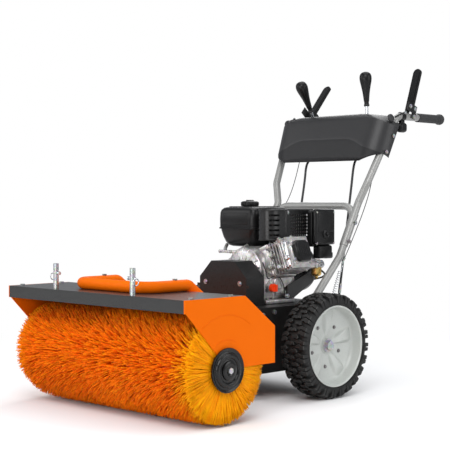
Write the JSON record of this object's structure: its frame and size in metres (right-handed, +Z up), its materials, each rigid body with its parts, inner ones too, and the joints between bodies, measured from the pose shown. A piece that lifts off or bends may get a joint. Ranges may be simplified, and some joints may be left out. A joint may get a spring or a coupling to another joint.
{
  "type": "walk-behind power brush sweeper",
  "caption": "Petrol walk-behind sweeper with a wide swivelling brush under an orange deck, lugged drive wheels, and a tubular handle with console, shift levers and paddles.",
  "frame": {"origin": "floor level, under the middle of the machine's length and width, close to the wheel axle", "axes": "+Z up, -Y towards the brush, +Y towards the operator, +X to the operator's left"},
  "size_m": [0.837, 1.423, 1.0827],
  "materials": {
    "orange_paint": "satin",
    "dark_paint": "satin",
    "black_paint": "satin",
    "silver_paint": "satin",
    "anthracite_paint": "satin",
    "rim_paint": "satin",
    "galvanised": "galvanised",
    "steel": "bright",
    "bristle": "fibrous",
    "core": "matt",
    "black_gloss": "gloss",
    "black_plastic": "matt",
    "grey_plastic": "matt",
    "red_plastic": "matt",
    "tyre": "matt",
    "rubber": "matt",
    "cast_aluminium": "cast",
    "bright_steel": "bright",
    "brass": "dull"
  },
  "bodies": {
    "chassis": {"chassis_frame": "black_paint", "chassis_floor": "black_paint", "swivel_pin": "steel", "frame_bolts": "galvanised", "belt_cover": "black_paint", "belts": "rubber", "transmission_case": "cast_aluminium", "axle_bearings": "steel", "crankcase": "cast_aluminium", "cylinder_block": "cast_aluminium", "valve_cover": "black_plastic", "fuel_tank": "black_plastic", "muffler": "bright_steel", "muffler_guard": "bright_steel", "carburettor": "brass", "air_cleaner": "black_plastic", "blower_housing": "grey_plastic", "lower_handle": "silver_paint", "upper_handles": "silver_paint", "grips": "rubber", "console": "anthracite_paint", "lever_brackets": "steel", "control_cables": "rubber", "clutch_springs": "galvanised"},
    "head": {"deck_plate": "dark_paint", "side_plate_left": "orange_paint", "side_plate_right": "orange_paint", "rear_apron": "orange_paint", "yoke_tube": "orange_paint", "head_bolts": "galvanised", "accessory_posts": "galvanised", "post_pins": "galvanised", "gearbox_case": "cast_aluminium", "torque_tube": "black_paint", "swivel_clevis": "black_paint"},
    "brush": {"brush_shaft": "steel", "brush_cores": "core", "bristles_left": "bristle", "bristles_right": "bristle", "brush_discs": "black_gloss", "brush_bolts": "galvanised", "bevel_gear": "steel"},
    "input_front": {"input_shaft": "steel"},
    "input_rear": {"rear_shaft": "steel", "shaft_coupling": "rubber", "brush_pulley": "steel"},
    "crank": {"crankshaft": "steel", "engine_pulley": "steel"},
    "drive_input": {"drive_pulley": "steel"},
    "wheels": {"axle": "steel", "rims": "rim_paint", "tyres": "tyre", "hub_nuts": "galvanised"},
    "fuel_cap": {"fuel_cap": "black_plastic"},
    "dipstick": {"dipstick": "red_plastic"},
    "recoil": {"recoil_grip": "black_plastic"},
    "speed_lever": {"speed_lever": "black_plastic"},
    "angle_lever": {"angle_lever": "black_plastic"},
    "paddle_left": {"paddle_left": "black_plastic"},
    "paddle_right": {"paddle_right": "black_plastic"}
  },
  "joints": [
    {"name": "wheel_spin", "type": "hinge", "parent": "chassis", "child": "wheels", "pos_m": [0, 0.0255, 0.1654], "axis": [1, 0, 0], "continuous": true},
    {"name": "head_swivel", "type": "hinge", "parent": "chassis", "child": "head", "pos_m": [0, -0.2565, 0.22], "axis": [0, 0, 1], "range_deg": [-15, 15], "deforming": ["shaft_coupling"]},
    {"name": "brush_spin", "type": "hinge", "parent": "head", "child": "brush", "pos_m": [0, -0.5535, 0.1575], "axis": [1, 0, 0], "continuous": true},
    {"name": "input_spin", "type": "hinge", "parent": "head", "child": "input_front", "pos_m": [0, -0.4115, 0.1575], "axis": [0, 1, 0], "continuous": true},
    {"name": "rear_spin", "type": "hinge", "parent": "chassis", "child": "input_rear", "pos_m": [0, -0.1815, 0.1575], "axis": [0, 1, 0], "continuous": true},
    {"name": "crank_spin", "type": "hinge", "parent": "chassis", "child": "crank", "pos_m": [0, -0.0115, 0.394], "axis": [0, 1, 0], "continuous": true},
    {"name": "drive_spin", "type": "hinge", "parent": "chassis", "child": "drive_input", "pos_m": [0, -0.0615, 0.23], "axis": [0, 1, 0], "continuous": true},
    {"name": "speed_lever_tilt", "type": "hinge", "parent": "chassis", "child": "speed_lever", "pos_m": [0.118, 0.4265, 0.886], "axis": [1, 0, 0], "range_deg": [-18, 18]},
    {"name": "angle_lever_tilt", "type": "hinge", "parent": "chassis", "child": "angle_lever", "pos_m": [-0.112, 0.4265, 0.886], "axis": [1, 0, 0], "range_deg": [-15, 15]},
    {"name": "paddle_left_press", "type": "hinge", "parent": "chassis", "child": "paddle_left", "pos_m": [0.228, 0.5255, 0.912], "axis": [1, 0, 0], "range_deg": [-50, 0], "stiffness_Nm_per_rad": 0.8, "springref_deg": 22.92},
    {"name": "paddle_right_press", "type": "hinge", "parent": "chassis", "child": "paddle_right", "pos_m": [-0.228, 0.5255, 0.912], "axis": [1, 0, 0], "range_deg": [-28, 0], "stiffness_Nm_per_rad": 0.8, "springref_deg": 34.38},
    {"name": "recoil_pull", "type": "slide", "parent": "chassis", "child": "recoil", "axis": [0, 0, 1], "range_m": [0, 0.45], "stiffness_N_per_m": 20, "springref_m": -0.25},
    {"name": "fuel_cap_turn", "type": "hinge", "parent": "chassis", "child": "fuel_cap", "pos_m": [-0.0825, 0.0443, 0.61], "axis": [0, 0, 1], "range_deg": [0, 90]},
    {"name": "dipstick_turn", "type": "hinge", "parent": "chassis", "child": "dipstick", "pos_m": [0.095, -0.0455, 0.342], "axis": [1, 0, 0], "range_deg": [0, 360]}
  ],
  "couplings": [
    {"joint": "input_spin", "follows": "brush_spin", "ratio": -3},
    {"joint": "rear_spin", "follows": "brush_spin", "ratio": -3},
    {"joint": "angle_lever_tilt", "follows": "head_swivel", "ratio": 1}
  ]
}
